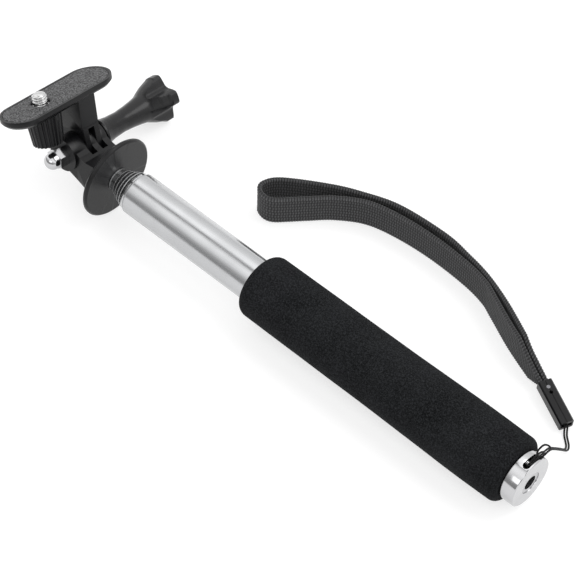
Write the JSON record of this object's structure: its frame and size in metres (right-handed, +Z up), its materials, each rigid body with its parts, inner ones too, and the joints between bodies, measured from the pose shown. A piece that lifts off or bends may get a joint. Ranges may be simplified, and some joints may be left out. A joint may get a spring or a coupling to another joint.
{
  "type": "selfie stick",
  "caption": "Telescopic hand-held camera stick with a tilting screw platform, a star thumbscrew, a foam grip and a wrist strap, collapsed and lying on a table.",
  "frame": {"origin": "middle of the bounding box in plan, on the table the stick lies on", "axes": "+X along the stick from the camera head to the end cap, +Z up from the table"},
  "size_m": [0.268, 0.1036, 0.0524],
  "materials": {
    "tube_metal": "polished",
    "cap_chrome": "polished",
    "black_gloss": "gloss",
    "black_plastic": "satin",
    "foam": "matt foam",
    "pad_rubber": "grained",
    "webbing": "ribbed",
    "cord": "braided",
    "screw_steel": "bright",
    "nut_chrome": "polished",
    "socket_brass": "plain",
    "sleeve_nylon": "plain",
    "core_plastic": "plain"
  },
  "bodies": {
    "handle": {"outer_tube": "tube_metal", "foam_grip": "foam", "end_cap": "cap_chrome", "cap_plug": "core_plastic", "socket_insert": "socket_brass", "lanyard_pin": "screw_steel", "lanyard_string": "cord", "clasp_left": "black_gloss", "clasp_right": "black_gloss", "clasp_rivet": "screw_steel", "wrist_strap": "webbing"},
    "stage_2": {"tube_2": "tube_metal", "sleeve_2": "sleeve_nylon"},
    "stage_3": {"tube_3": "tube_metal", "sleeve_3": "sleeve_nylon"},
    "stage_4": {"tube_4": "tube_metal", "sleeve_4": "sleeve_nylon"},
    "stage_5": {"tube_5": "tube_metal", "sleeve_5": "sleeve_nylon"},
    "stage_6": {"sleeve_6": "sleeve_nylon"},
    "head": {"tube_6": "tube_metal", "head_plug": "core_plastic", "head_stud": "screw_steel", "flange_disc": "black_gloss", "head_base": "black_plastic", "acorn_nut": "nut_chrome"},
    "camera_platform": {"platform": "black_plastic", "rubber_pad": "pad_rubber"},
    "screw": {"camera_screw": "screw_steel", "screw_clip": "screw_steel", "thumbwheel": "black_plastic"},
    "thumbscrew": {"thumbscrew_shaft": "screw_steel", "thumbscrew_knob": "black_gloss", "thumb_washer": "screw_steel"}
  },
  "joints": [
    {"name": "stage_2_slide", "type": "slide", "parent": "handle", "child": "stage_2", "axis": [-0.9998, 0, 0.0185], "range_m": [0, 0.165]},
    {"name": "stage_3_slide", "type": "slide", "parent": "stage_2", "child": "stage_3", "axis": [-0.9998, 0, 0.0185], "range_m": [0, 0.165]},
    {"name": "stage_4_slide", "type": "slide", "parent": "stage_3", "child": "stage_4", "axis": [-0.9998, 0, 0.0185], "range_m": [0, 0.165]},
    {"name": "stage_5_slide", "type": "slide", "parent": "stage_4", "child": "stage_5", "axis": [-0.9998, 0, 0.0185], "range_m": [0, 0.165]},
    {"name": "stage_6_slide", "type": "slide", "parent": "stage_5", "child": "stage_6", "axis": [-0.9998, 0, 0.0185], "range_m": [0, 0.165]},
    {"name": "head_swivel", "type": "hinge", "parent": "stage_6", "child": "head", "pos_m": [0.01048, -0.0227, 0.0169], "axis": [0.9998, 0, -0.0185], "continuous": true},
    {"name": "platform_tilt", "type": "hinge", "parent": "head", "child": "camera_platform", "pos_m": [-0.1144, -0.0227, 0.01921], "axis": [-0.0033, 0.9836, -0.1805], "range_deg": [-150, 20]},
    {"name": "thumbscrew_spin", "type": "hinge", "parent": "head", "child": "thumbscrew", "pos_m": [-0.1145, 0.00681, 0.0138], "axis": [-0.0033, 0.9836, -0.1805], "continuous": true},
    {"name": "camera_screw_spin", "type": "hinge", "parent": "camera_platform", "child": "screw", "pos_m": [-0.12123, -0.03276, 0.0371], "axis": [-0.3674, 0.1667, 0.915], "continuous": true}
  ]
}
